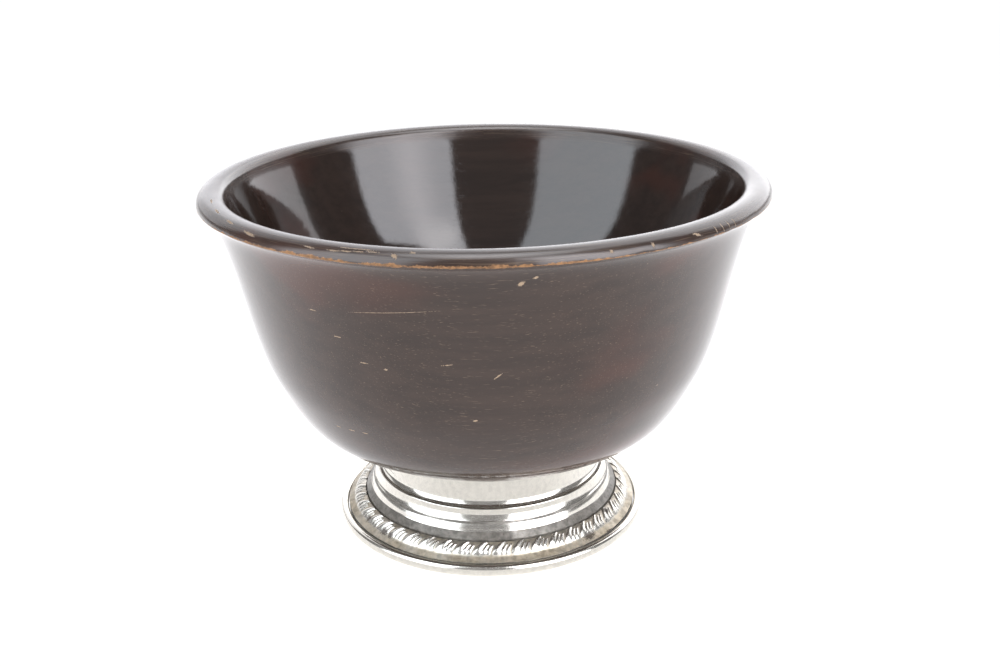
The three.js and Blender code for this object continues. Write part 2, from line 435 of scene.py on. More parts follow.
class Finish(Graph):
    """A material under construction."""

    def __init__(self, name: str) -> None:
        """Starts a material of the given name."""
        self.material = bpy.data.materials.new(name)
        self.material.use_nodes = True
        super().__init__(self.material.node_tree)

    def bump(self, strength: float, height) -> Socket:
        """Returns the normal that a height in metres gives."""
        inputs = {"Strength": strength, "Distance": 1.0, "Height": height}
        return self.add("ShaderNodeBump", inputs).outputs["Normal"]

    def give(self, inputs: dict) -> bpy.types.Material:
        """Feeds the principled shader's inputs and returns the finished material."""
        for name, value in inputs.items():
            self.feed(self.tree.nodes["Principled BSDF"].inputs[name], value)
        return self.material


@cache
def turned_place() -> Tree:
    """Returns a group that gives the turn, radius and height of the shaded point."""
    group = Effect("Turned place", "", "Turn Radius Height")
    parts = group.add("ShaderNodeSeparateXYZ", {0: group.place()}).outputs
    radius = group.math("SQRT", group.plus(group.squared(parts["X"]), group.squared(parts["Y"])))
    turn = group.math("ARCTAN2", parts["X"], group.times(parts["Y"], -1))
    return group.give(turn=turn, radius=radius, height=parts["Z"])


@cache
def band_mask() -> Tree:
    """Returns a group that is 1 where a value lies between two limits, with soft ends."""
    group = Effect("Band", "Value Low High Soft", "Mask")
    value, low, high, soft = (group.given[name] for name in ("Value", "Low", "High", "Soft"))
    rise = group.ramp(value, group.minus(low, soft), group.plus(low, soft))
    fall = group.ramp(value, group.plus(high, soft), group.minus(high, soft))
    return group.give(mask=group.times(rise, fall))


@cache
def wood_figure() -> Tree:
    """Returns a group with the wood's colour and pores, its grain running along X."""
    streak_scales, broad_scales, pore_scales = (18, 260, 260), (10, 45, 45), (260, 4200, 4200)
    most_red = 0.75
    group = Effect("Wood figure", "Dark Light Red", "Colour Pores")
    place, given = group.place(), group.given
    streaks = group.clouds(group.stretched(place, streak_scales), 1, 5, 0.6)
    broad = group.clouds(group.stretched(place, broad_scales), 1, 2)
    fine = group.clouds(group.stretched(place, pore_scales), 1, 2)
    tone = group.mix(group.ramp(streaks, 0.3, 0.7), given["Dark"], given["Light"])
    red_share = group.times(group.ramp(broad, 0.52, 0.72), most_red)
    colour = group.mix(red_share, tone, given["Red"])
    return group.give(colour=colour, pores=group.ramp(fine, 0.62, 0.72))


@cache
def nick_mask() -> Tree:
    """Returns a group that marks one short scratch or chip.

    Its place is a turn and a level, which is a height on a wall and a radius on a rim.
    """
    ragged_noise, ragged_depth = (2900, 3, 0.7), 3.2
    group = Effect("Nick", "Level Turn Place Length Width Tilt", "Mask")
    given, here = group.given, group.here
    across = group.times(group.minus(here["Turn"], given["Turn"]), here["Radius"])
    rise = group.minus(given["Level"], given["Place"])
    cosine, sine = group.math("COSINE", given["Tilt"]), group.math("SINE", given["Tilt"])
    along = group.plus(group.times(across, cosine), group.times(rise, sine))
    aside = group.minus(group.times(rise, cosine), group.times(across, sine))
    reach = group.squared(group.math("DIVIDE", along, given["Length"]))
    spread = group.squared(group.math("DIVIDE", aside, given["Width"]))
    ragged = group.times(group.minus(group.noise_here(ragged_noise), 0.5), ragged_depth)
    distance = group.plus(group.math("SQRT", group.plus(reach, spread)), ragged)
    return group.give(mask=group.ramp(distance, 1.1, 0.7))


@cache
def speck_mask() -> Tree:
    """Returns a group that scatters small round spots."""
    group = Effect("Specks", "Size Reach Share", "Mask")
    given = group.given
    cells = group.add("ShaderNodeTexVoronoi", {"Vector": group.place(), "Scale": given["Size"]}).outputs
    parts = group.add("ShaderNodeSeparateXYZ", {0: cells["Color"]}).outputs
    spot = group.math("LESS_THAN", cells["Distance"], group.times(given["Reach"], parts["Y"]))
    chosen = group.math("LESS_THAN", parts["X"], given["Share"])
    return group.give(mask=group.times(spot, chosen))


def shaded(colour: tuple, share: float) -> tuple:
    """Returns a darker colour."""
    return tuple(value * share for value in colour)


@dataclass(frozen=True)
class Nick:
    """A mark on a turned face, its angles in degrees and its sizes in millimetres."""

    turn: float
    place: float
    length: float
    width: float
    tilt: float = 0

    def mask(self, graph: Graph, level: Socket) -> Socket:
        """Returns the mark's mask, from the height or radius that its place is measured in."""
        return graph.effect(
            nick_mask(), level=level, turn=radians(self.turn), place=self.place * MM,
            length=self.length * MM, width=self.width * MM, tilt=radians(self.tilt),
        )["Mask"]


def nick_row(first: Nick, last: Nick, count: int) -> tuple:
    """Returns marks like the first one, evenly spaced from it to the last one's place.

    Args:
        first: The first mark.
        last: A mark at the row's other end.
        count: Number of marks.

    Returns:
        The marks.
    """
    shares = [index / (count - 1) for index in range(count)]
    return tuple(
        replace(first, turn=first.turn + (last.turn - first.turn) * share,
                place=first.place + (last.place - first.place) * share)
        for share in shares
    )


@dataclass(frozen=True)
class DarkWood:
    """Old dark wood under wax: darker and brighter in the grain, with worn and nicked places."""

    dark: tuple = (0.040, 0.025, 0.020, 1)
    light: tuple = (0.058, 0.036, 0.028, 1)
    red: tuple = (0.085, 0.032, 0.022, 1)
    bare: tuple = (0.46, 0.33, 0.22, 1)
    arris: tuple = (0.42, 0.21, 0.085, 1)
    arris_shade: float = 0.45
    outer_roughness: float = 0.14
    lip_roughness: float = 0.24
    inner_roughness: float = 0.07
    under_roughness: float = 0.05
    mark_roughness: float = 0.6
    shine: float = 0.5
    seam_shine: float = 0.05
    seam_fade: tuple = (SEAT_LEVEL + 6.5 * MM, SEAT_LEVEL + 4 * MM)
    under_fade: tuple = (SEAT_LEVEL + 9 * MM, SEAT_LEVEL + 3 * MM)
    pore_share: float = 0.22
    rubbed_share: float = 0.22
    dot_share: float = 0.4
    worn_front: tuple = (radians(-52), radians(16), radians(14))
    worn_widths: tuple = (0.35 * MM, 0.95 * MM)
    worn_slope: float = 0.6
    worn_soft: float = 0.12 * MM
    worn_noise: tuple = (380, 4, 0.7)
    arris_noise: tuple = (900, 3, 0.7)
    gloss_noise: tuple = (120, 3)
    ripple_noise: tuple = (300, 4)
    streak_noise: tuple = (6, 4200, 3)
    ripple_depth: float = 0.05 * MM
    pore_depth: float = 0.01 * MM
    streak_depth: float = 0.02 * MM
    mark_depth: float = 0.15 * MM
    bump_strength: float = 0.35
    wall_nicks: tuple = (
        Nick(6, 90, 0.9, 0.5, 35), Nick(8.5, 91.5, 0.6, 0.3, 20), Nick(2, 66, 1.2, 0.18, 40),
        Nick(-8, 69, 1.2, 0.13, 8), Nick(-21, 66.5, 0.5, 0.25), Nick(-3, 53.5, 0.5, 0.25),
        *nick_row(Nick(-40, 45, 1.0, 0.13), Nick(-31, 45.5, 1.0, 0.13), 3),
        *nick_row(Nick(-36, 79.5, 1.0, 0.13), Nick(-26, 67.5, 1.0, 0.13), 3),
        Nick(-18, 82, 10.5, 0.06, 6),
    )
    lip_nicks: tuple = (
        *nick_row(Nick(-26, 75, 1.5, 0.15), Nick(-19, 74.5, 1.5, 0.15), 4),
        *nick_row(Nick(-24, 74, 1.7, 0.14), Nick(-20, 74, 1.7, 0.14), 3),
        Nick(-15, 75, 0.8, 0.38, 20), Nick(-12, 74, 0.7, 0.35), Nick(-31, 75, 1.6, 0.14, 4),
        Nick(21, 75.5, 0.45, 0.2), Nick(29, 75.5, 0.5, 0.26, 20), Nick(39, 75.5, 1.2, 0.18, 10),
        *nick_row(Nick(44, 75.5, 0.7, 0.1, 60), Nick(50, 75.5, 0.7, 0.1, 60), 4),
        *nick_row(Nick(-70, 72.5, 2.2, 0.25, 5), Nick(-46, 75, 2.2, 0.25, 5), 4),
    )

    def worn(self, graph: Graph) -> Socket:
        """Returns the mask of the sharp edge under the lip, which is worn most at the front.

        Args:
            graph: The material's graph.

        Returns:
            The mask's socket.
        """
        here = graph.here
        below = graph.math("ABSOLUTE", graph.minus(here["Height"], EDGE_LEVEL))
        inward = graph.times(graph.minus(RIM_RADIUS, here["Radius"]), self.worn_slope)
        front = graph.band(here["Turn"], *self.worn_front)
        ragged = graph.ramp(graph.noise_here(self.worn_noise), 0.3, 0.75)
        width = graph.times(graph.blend(front, *self.worn_widths), ragged)
        return graph.ramp(graph.minus(graph.plus(below, inward), width), self.worn_soft, -self.worn_soft)

    def material(self) -> bpy.types.Material:
        """Returns the finished material."""
        graph = Finish("Dark wood")
        here = graph.here
        figure = graph.effect(wood_figure(), dark=self.dark, light=self.light, red=self.red)
        polish = graph.reading(Reading.POLISH)
        is_lip = graph.band(polish, 0.4, 0.8, 0.15)
        is_wall = graph.ramp(polish, 0.45, 0.3)
        is_inside = graph.ramp(polish, LIP_POLISH, INSIDE_POLISH)
        streaks = graph.rings(self.streak_noise)

        wall_marks = graph.most(0.0, *(nick.mask(graph, here["Height"]) for nick in self.wall_nicks))
        lip_marks = graph.most(0.0, *(nick.mask(graph, here["Radius"]) for nick in self.lip_nicks))
        dots = graph.effect(speck_mask(), size=150.0, reach=0.045, share=0.5)["Mask"]
        marks = graph.most(
            graph.times(wall_marks, is_wall), graph.times(lip_marks, is_lip),
            graph.times(dots, self.dot_share),
        )
        worn = self.worn(graph)

        pores = graph.times(figure["Pores"], self.pore_share, is_wall)
        colour = graph.mix(pores, figure["Colour"], self.bare)
        rubbed = graph.times(graph.ramp(streaks, 0.5, 0.75), is_lip, self.rubbed_share)
        colour = graph.mix(rubbed, colour, self.bare)
        arris_tone = graph.ramp(graph.noise_here(self.arris_noise), 0.35, 0.65)
        arris = graph.mix(arris_tone, self.arris, shaded(self.arris, self.arris_shade))
        colour = graph.mix(marks, graph.mix(worn, colour, arris), self.bare)

        is_under = graph.ramp(here["Height"], *self.under_fade)
        outer = graph.blend(is_under, self.outer_roughness, self.under_roughness)
        rough = graph.blend(is_inside, outer, self.inner_roughness)
        rough = graph.blend(is_lip, rough, self.lip_roughness)
        uneven = graph.plus(0.75, graph.times(graph.noise_here(self.gloss_noise), 0.5))
        rough = graph.times(rough, uneven)
        rough = graph.most(rough, graph.times(graph.most(marks, worn), self.mark_roughness))

        ripples = graph.times(graph.noise_here(self.ripple_noise), self.ripple_depth)
        surface = graph.minus(ripples, graph.times(figure["Pores"], self.pore_depth))
        surface = graph.plus(surface, graph.times(streaks, is_lip, self.streak_depth))
        surface = graph.minus(surface, graph.times(marks, self.mark_depth))
        is_seam = graph.ramp(here["Height"], *self.seam_fade)
        return graph.give({
            "Base Color": colour,
            "Roughness": rough,
            "Specular IOR Level": graph.blend(is_seam, self.shine, self.seam_shine),
            "Normal": graph.bump(self.bump_strength, surface),
        })


@dataclass(frozen=True)
class Silver:
    """Silver, bright where hands and cloths reach and tarnished in the hollows, with painted shade and
    painted dark reflections where its mesh's reading marks them.
    """

    name: str = "Polished silver"
    bright: tuple = (0.64, 0.615, 0.56, 1)
    tarnish: tuple = (0.30, 0.28, 0.25, 1)
    dirt: tuple = (0.045, 0.028, 0.02, 1)
    bright_shade: float = 0.9
    tarnish_shade: float = 0.5
    metallic: float = 0.86
    crust: float = 1.0
    roughness: float = 0.10
    wear: float = 0.1
    grime_roughness: float = 0.28
    dirt_roughness: float = 0.4
    speck_share: float = 0.5
    stain_share: float = 0.8
    grain_share: float = 0.35
    stains: tuple = ()
    cloud_noise: tuple = (130, 4)
    mottle_noise: tuple = (700, 3)
    grain_noise: tuple = (1600, 2)
    ripple_noise: tuple = (260, 3)
    line_noise: tuple = (0.6, 5200, 2)
    ripple_depth: float = 0.05 * MM
    line_depth: float = 0.006 * MM
    bump_strength: float = 0.4

    def stains_and_shade(self, graph: Graph, recess: Socket) -> Socket:
        """Returns the mask of the specks, the stains and the caked dirt, the last also painting shade
        where the reading is highest, under the bowl.

        Args:
            graph: The material's graph.
            recess: How dark the reading marks the shaded point: tarnish in hollows, painted shade and a
                painted dark reflection.

        Returns:
            The mask's socket.
        """
        specks = graph.effect(speck_mask(), size=260.0, reach=0.05, share=0.4)["Mask"]
        stains = (stain.mask(graph, graph.here["Radius"]) for stain in self.stains)
        grains = graph.times(graph.noise_here(self.grain_noise), self.grain_share)
        return graph.most(
            graph.times(specks, self.speck_share),
            *(graph.times(stain, self.stain_share) for stain in stains),
            # Caked dirt, and painted shade on the collar's top under the bowl.
            graph.ramp(graph.plus(recess, grains), 1.1, 1.2),
        )

    def material(self) -> bpy.types.Material:
        """Returns the finished material."""
        graph = Finish(self.name)
        recess = graph.reading(Reading.RECESS)
        cloud = graph.noise_here(self.cloud_noise)
        mottled = graph.noise_here(self.mottle_noise)
        # Tarnish in the hollows, and painted shade and dark reflections where the reading marks them.
        grime_and_shade = graph.ramp(graph.times(recess, graph.plus(0.45, cloud)), 0.3, 0.95)
        stains_and_shade = self.stains_and_shade(graph, recess)

        bright = graph.mix(
            graph.ramp(mottled, 0.35, 0.7), self.bright, shaded(self.bright, self.bright_shade)
        )
        soiled = graph.mix(
            graph.ramp(mottled, 0.3, 0.7), self.tarnish, shaded(self.tarnish, self.tarnish_shade)
        )
        colour = graph.mix(stains_and_shade, graph.mix(grime_and_shade, bright, soiled), self.dirt)

        rough = graph.plus(
            self.roughness, graph.times(cloud, self.wear), graph.times(grime_and_shade, self.grime_roughness),
            graph.times(stains_and_shade, self.dirt_roughness),
        )
        clean = graph.minus(1, graph.times(grime_and_shade, self.crust))
        lines = graph.times(graph.rings(self.line_noise), self.line_depth)
        ripples = graph.times(graph.noise_here(self.ripple_noise), self.ripple_depth)
        return graph.give({
            "Base Color": colour,
            "Metallic": graph.times(self.metallic, graph.minus(1, stains_and_shade), clean),
            "Roughness": rough,
            "Normal": graph.bump(self.bump_strength, graph.plus(lines, ripples)),
        })


@dataclass(frozen=True)
class Plain:
    """A plain material with a mottled tone, for what is seldom seen."""

    name: str
    first: tuple
    second: tuple
    roughness: float
    metallic: float = 0.0
    mottle_noise: tuple = (240, 4)

    def material(self) -> bpy.types.Material:
        """Returns the finished material."""
        graph = Finish(self.name)
        cloud = graph.noise_here(self.mottle_noise)
        return graph.give({
            "Base Color": graph.mix(graph.ramp(cloud, 0.35, 0.65), self.first, self.second),
            "Metallic": self.metallic,
            "Roughness": graph.times(self.roughness, graph.plus(0.7, graph.times(cloud, 0.6))),
        })


@dataclass
class WoodenBowl:
    """The turned bowl."""

    finish: DarkWood
    belly_radius: float = 60.1 * MM
    belly_height: float = 22 * MM
    belly_wall: float = 20.6 * MM
    seat_radius: float = 33 * MM
    floor: float = 11.5 * MM
    lip_width: float = 7.2 * MM
    lip_crest: float = 3.7 * MM
    lip_inner_drop: float = 2.2 * MM
    seat_lean: float = radians(83)
    belly_lean: float = radians(25)
    flare_lean: float = radians(63)
    basin_lean: float = radians(53)
    mouth_lean: float = radians(19)
    outer_pulls: tuple = ((0.46, 0.5), (0.294, 0.175))
    inner_pulls: tuple = ((0.4, 0.35), (0.39, 0.5))
    dent_reach: float = 1.6 * MM
    dent_depth: float = 0.35 * MM
    dent_rate: float = 14
    dent_threshold: float = 0.2
    steps: int = 288
    curve_steps: int = 26
    arc_steps: int = 9

    def outside(self) -> list[Vector]:
        """Returns the outer outline, from the edge of the seat up to the edge under the lip."""
        seat_edge = point(self.seat_radius, SEAT_LEVEL)
        belly = point(self.belly_radius, SEAT_LEVEL + self.belly_height)
        lip_edge = point(RIM_RADIUS, EDGE_LEVEL)
        below, above = self.outer_pulls
        lower = sweep(seat_edge, self.seat_lean, belly, self.belly_lean, below, self.curve_steps)
        upper = sweep(belly, self.belly_lean, lip_edge, self.flare_lean, above, self.curve_steps)
        return lower + upper[1:]

    def lip(self) -> list[Vector]:
        """Returns the domed lip, from its sharp outer edge over the crest to the mouth."""
        crest = RIM_RADIUS - self.lip_crest
        outer = arc(point(crest, EDGE_LEVEL), self.lip_crest, LIP_OUTER_DROP,
                    0, pi / 2, self.arc_steps)
        inner = arc(point(crest, RIM_LEVEL - self.lip_inner_drop), self.lip_width - self.lip_crest,
                    self.lip_inner_drop, pi / 2, pi, self.arc_steps)
        return outer + inner[1:]

    def inside(self) -> list[Vector]:
        """Returns the inner outline, from the mouth down to the middle of the floor."""
        mouth = point(RIM_RADIUS - self.lip_width, RIM_LEVEL - self.lip_inner_drop)
        basin = point(self.belly_radius - self.belly_wall, SEAT_LEVEL + self.belly_height)
        floor = point(0, SEAT_LEVEL + self.floor)
        below, above = self.inner_pulls
        bottom = sweep(floor, pi / 2, basin, self.basin_lean, below, self.curve_steps)
        side = sweep(basin, self.basin_lean, mouth, self.mouth_lean, above, self.curve_steps)
        return (bottom + side[1:])[::-1]

    def build(self) -> Object:
        """Builds the bowl with its blind pilot hole and small dents along its edge."""
        pilot = [point(0, PILOT_TOP), point(PILOT_RADIUS, PILOT_TOP), point(PILOT_RADIUS, SEAT_LEVEL)]
        wall, lip, inside = pilot + self.outside(), self.lip()[1:], self.inside()[1:]
        polish = [WALL_POLISH] * len(wall) + [LIP_POLISH] * len(lip) + [INSIDE_POLISH] * len(inside)
        outline = wall + lip + inside
        form = spun(outline, self.steps, Reading.POLISH, polish)

        def dented(radius: float, turn: float, height: float) -> Vector:
            """Returns where a point of the bowl goes."""
            gap = hypot(radius - RIM_RADIUS, height - EDGE_LEVEL)
            near = max(0.0, 1 - gap / self.dent_reach)
            ragged = noise.noise(Vector((sin(turn), cos(turn), 0)) * self.dent_rate)
            bite = max(0.0, ragged - self.dent_threshold)
            return point(radius - near * bite * self.dent_depth, height)

        displaced(form, dented)
        return placed(form, "turned_bowl", self.finish.material(), "wooden_bowl")


@dataclass(frozen=True)
class Lobe:
    """One lobe of the border's repeat.

    Its place and half width are shares of the repeat, and its tip is a share of the strip.
    """

    place: float
    half_width: float
    height: float
    tip: float
    tip_width: float = 0.45
    tip_curve: float = 0.7
    crown_curve: float = 0.8
    inner_end: float = 0.16
    outer_end: float = 0.3
    end_curve: float = 0.6

    def rise(self, share: float, curled: float) -> float:
        """Returns the lobe's height, 0 beside it.

        Args:
            share: Place across the lobed strip, 0 inside to 1 outside.
            curled: Place along the repeat, in repeats, with the slant taken off.

        Returns:
            The height over the swell.
        """
        if share <= self.tip:
            return 0.0
        along = (share - self.tip) / (1 - self.tip)
        width = self.half_width * (self.tip_width + (1 - self.tip_width) * along ** self.tip_curve)
        offset = (curled - self.place + 0.5) % 1 - 0.5
        crown = 1 - (offset / width) ** 2
        if crown <= 0:
            return 0.0
        inner = min(1.0, along / self.inner_end) ** self.end_curve
        outer = min(1.0, (1 - along) / self.outer_end) ** self.end_curve
        return self.height * crown ** self.crown_curve * inner * outer


@dataclass
class SilverFoot:
    """The foot's spun shell, its border of slanted lobes and its wire edge."""

    finish: Silver
    cast_finish: Silver
    sheet: float = 0.7 * MM
    collar_radius: float = 31 * MM
    collar_round: float = 1 * MM
    collar_fillet: float = 2.5 * MM
    # Painted shade under the bowl: the collar is painted fully dark from its top down to the first
    # depth, fading out by the second.
    under_bowl_shade_depth: float = 4.1 * MM
    under_bowl_shade_end: float = 4.7 * MM
    fillet_end: float = radians(50)
    ledge_radius: float = 33 * MM
    ledge_height: float = 14.2 * MM
    ledge_round: float = 0.35 * MM
    ledge_face: float = 1.15 * MM
    flare_turn: float = radians(14)
    flare_pulls: tuple = (0.6, 0.7)
    step_radius: float = 34.95 * MM
    step_height: float = 8.4 * MM
    cove_height: float = 6.75 * MM
    crisp_share: float = 0.04
    # A painted dark reflection: a thin dark band round the flare at this level, where it mirrors the
    # dark horizon, with its reach and gain below.
    dark_reflection_level: float = 10.5 * MM
    dark_reflection_reach: float = 0.45 * MM
    dark_reflection_gain: float = 1.5
    crease_dirt: float = 0.6
    cove_dirt: float = 0.9
    inner_dirt: float = 0.3
    wire_height: float = 3 * MM
    wire_inner_share: float = 0.25
    wire_square: float = 0.85
    wire_dirt: tuple = (0.6, 0.0, 0.2, 0.8)
    lobe_count: int = 48
    lobed_share: float = 0.68
    plain_rows: tuple = (0.76, 0.84, 0.92, 1.0)
    groove_depth: float = 0.2 * MM
    groove_dirt: float = 0.7
    band_dirt: float = 0.85
    swell: float = 0.5 * MM
    swell_curve: float = 0.6
    slant: float = 0.55
    slant_curve: float = 1.8
    lobes: tuple = (
        Lobe(0.20, 0.24, 0.42 * MM, 0.0), Lobe(0.52, 0.14, 0.27 * MM, 0.24),
        Lobe(0.77, 0.13, 0.25 * MM, 0.3),
    )
    steps: int = 240
    steps_per_lobe: int = 44
    lobe_rows: int = 22

    def flange_level(self, radius: float) -> float:
        """Returns the level of the flange that the border lies on."""
        return self.under_level(radius) - FIT / cos(BORDER_SLOPE)

    @staticmethod
    def under_level(radius: float) -> float:
        """Returns the level of the border's underside."""
        return BORDER_LEVEL - BORDER_EDGE - (radius - BORDER_INNER_RADIUS) * tan(BORDER_SLOPE)

    def shell_outline(self, has_ledge: bool) -> list[Vector]:
        """Returns the shell's outer outline, from the screw's hole down to the flange's edge.

        Args:
            has_ledge: Whether the outline follows the ledge or passes behind it.

        Returns:
            The outline's points.
        """
        hole = point(PILOT_RADIUS, FOOT_HEIGHT)
        collar, top_round, fillet_size = self.collar_radius, self.collar_round, self.collar_fillet
        shoulder_centre = point(collar - top_round, FOOT_HEIGHT - top_round)
        shoulder = arc(shoulder_centre, top_round, top_round, pi / 2, 0, 8)
        fillet_level = self.ledge_height + fillet_size * sin(self.fillet_end)
        fillet_centre = point(collar + fillet_size, fillet_level)
        fillet = arc(fillet_centre, fillet_size, fillet_size, pi, pi + self.fillet_end, 10)
        ledge_centre = point(self.ledge_radius - self.ledge_round, self.ledge_height - self.ledge_round)
        ledge_foot = point(self.ledge_radius, ledge_centre.y - self.ledge_face)
        step_foot = point(self.step_radius, self.step_height)
        lean = pi - self.flare_turn
        flare = sweep(ledge_foot, lean, step_foot, lean, self.flare_pulls, 24)
        cove_radius = BORDER_INNER_RADIUS - FIT
        cove_foot = point(cove_radius, self.cove_height)
        flange = [point(at, self.flange_level(at)) for at in (cove_radius, BORDER_OUTER_RADIUS)]
        shade_fade_points, ledge, crisp = [], [], []
        if has_ledge:
            # Points that end the painted shade on the collar under the bowl.
            shade_fade_points = [point(collar, FOOT_HEIGHT - depth) for depth in (self.under_bowl_shade_depth, self.under_bowl_shade_end)]
            ledge = arc(ledge_centre, self.ledge_round, self.ledge_round, pi / 2, 0, 6)
            crisp = [step_foot.lerp(cove_foot, self.crisp_share)]
        return [hole, *shoulder, *shade_fade_points, *fillet, *ledge, *flare, *crisp, cove_foot, *flange]

    def shell(self) -> Object:
        """Builds the shell, darker in its crease and its cove, with painted shade on the collar's top
        under the bowl and a painted dark reflection band round the flare.
        """
        outside = self.shell_outline(True)
        inside = beside(self.shell_outline(False), self.sheet)[::-1]
        readings = [self.painted_darkness(here) for here in outside] + [self.inner_dirt] * len(inside)
        form = spun(outside + inside, self.steps, Reading.RECESS, readings)
        return placed(form, "spun_foot", self.finish.material(), "foot_shell")

    def painted_darkness(self, here: Vector) -> float:
        """Returns how dark a point of the shell is painted: tarnish in its crease and cove, painted
        shade on the collar's top under the bowl, and a painted dark reflection band round the flare.

        Args:
            here: A point of the shell's outer outline.

        Returns:
            The darkness, from 0 in the open to 1 for the painted shade under the bowl.
        """
        # Painted shade on the collar's top, under the bowl.
        if here.y > FOOT_HEIGHT - self.under_bowl_shade_depth - TINY:
            return 1.0
        if here.y > self.ledge_height + TINY:
            return 0.0
        if here.x < self.ledge_radius - self.ledge_round - TINY:
            return self.crease_dirt
        if here.y < self.step_height - TINY:
            return self.cove_dirt
        # Painted dark reflection band round the flare.
        near = max(0.0, 1 - abs(here.y - self.dark_reflection_level) / self.dark_reflection_reach)
        return min(self.cove_dirt, self.dark_reflection_gain * near)

    def lobe_rise(self, share: float, phase: float) -> float:
        """Returns the height of the lobes over the swell.

        Args:
            share: Place across the lobed strip, 0 inside to 1 outside.
            phase: Place along the repeat, counted in repeats.

        Returns:
            The height, 0 in the grooves.
        """
        if share >= 1:
            return 0.0
        curled = phase - self.slant * (1 - share) ** self.slant_curve
        return max(lobe.rise(share, curled) for lobe in self.lobes)

    def border(self) -> Object:
        """Builds the border, a ring on the flange with slanted lobes across its inner part."""
        rows = [self.lobed_share * row / self.lobe_rows for row in range(self.lobe_rows + 1)]
        radii = [BORDER_INNER_RADIUS + share * BORDER_WIDTH for share in (*rows, *self.plain_rows)]
        top = [point(radius, self.under_level(radius) + BORDER_EDGE) for radius in radii]
        under = [point(radius, self.under_level(radius)) for radius in (radii[-1], radii[0])]
        form = bmesh.new()
        layer = form.verts.layers.float.new(Reading.RECESS.value)
        verts = [form.verts.new((p.x, 0, p.y)) for p in top + under]
        edges = [form.edges.new(pair) for pair in zip(verts, verts[1:] + verts[:1])]
        repeat = 2 * pi / self.lobe_count
        bmesh.ops.spin(form, geom=verts + edges, axis=UP, cent=(0, 0, 0), angle=repeat,
                       steps=self.steps_per_lobe)
        for vert in form.verts:
            radius = hypot(vert.co.x, vert.co.y)
            if vert.co.z < self.under_level(radius) + BORDER_EDGE / 2:
                continue
            share = (radius - BORDER_INNER_RADIUS) / BORDER_WIDTH / self.lobed_share
            rise = self.lobe_rise(share, atan2(vert.co.y, vert.co.x) / repeat)
            vert.co.z += rise + self.swell * sin(pi * min(max(share, 0), 1)) ** self.swell_curve
            dirt = self.groove_dirt if share < 1 else self.band_dirt
            vert[layer] = max(0.0, 1 - rise / self.groove_depth) * dirt
        everything = form.verts[:] + form.edges[:] + form.faces[:]
        bmesh.ops.spin(form, geom=everything, axis=UP, cent=(0, 0, 0), angle=2 * pi - repeat,
                       steps=self.lobe_count - 1, use_duplicate=True)
        bmesh.ops.remove_doubles(form, verts=form.verts, dist=TINY)
        bmesh.ops.recalc_face_normals(form, faces=form.faces)
        return placed(form, "lobed_border", self.cast_finish.material(), "gadroon_border")

    def wire(self) -> Object:
        """Builds the wire edge, flat below where it stands on the table."""
        middle = WIRE_INNER_RADIUS + WIRE_WIDTH / 2
        inner_height = self.wire_height * self.wire_inner_share
        outer = [
            point(middle + here.x ** self.wire_square * WIRE_WIDTH / 2,
                  self.wire_height / 2 * (1 + copysign(abs(here.y) ** self.wire_square, here.y)))
            for here in arc(point(0, 0), 1, 1, -pi / 2, pi / 2, 24)[1:-1]
        ]
        outer = [point(middle, 0), *outer, point(middle, self.wire_height)]
        inner = arc(point(middle, self.wire_height - inner_height), WIRE_WIDTH / 2, inner_height,
                    pi / 2, pi, 8)
        outline = [point(WIRE_INNER_RADIUS, 0), *outer, *inner[1:]]
        foot, side, top, groove = self.wire_dirt
        readings = [foot] + [side] * len(outer) + [top] * (len(inner) - 2) + [groove]
        form = spun(outline, self.steps, Reading.RECESS, readings)
        return placed(form, "wire_ring", self.finish.material(), "wire_edge")

    def build(self) -> None:
        """Builds the foot's three visible pieces."""
        self.shell()
        self.border()
        self.wire()


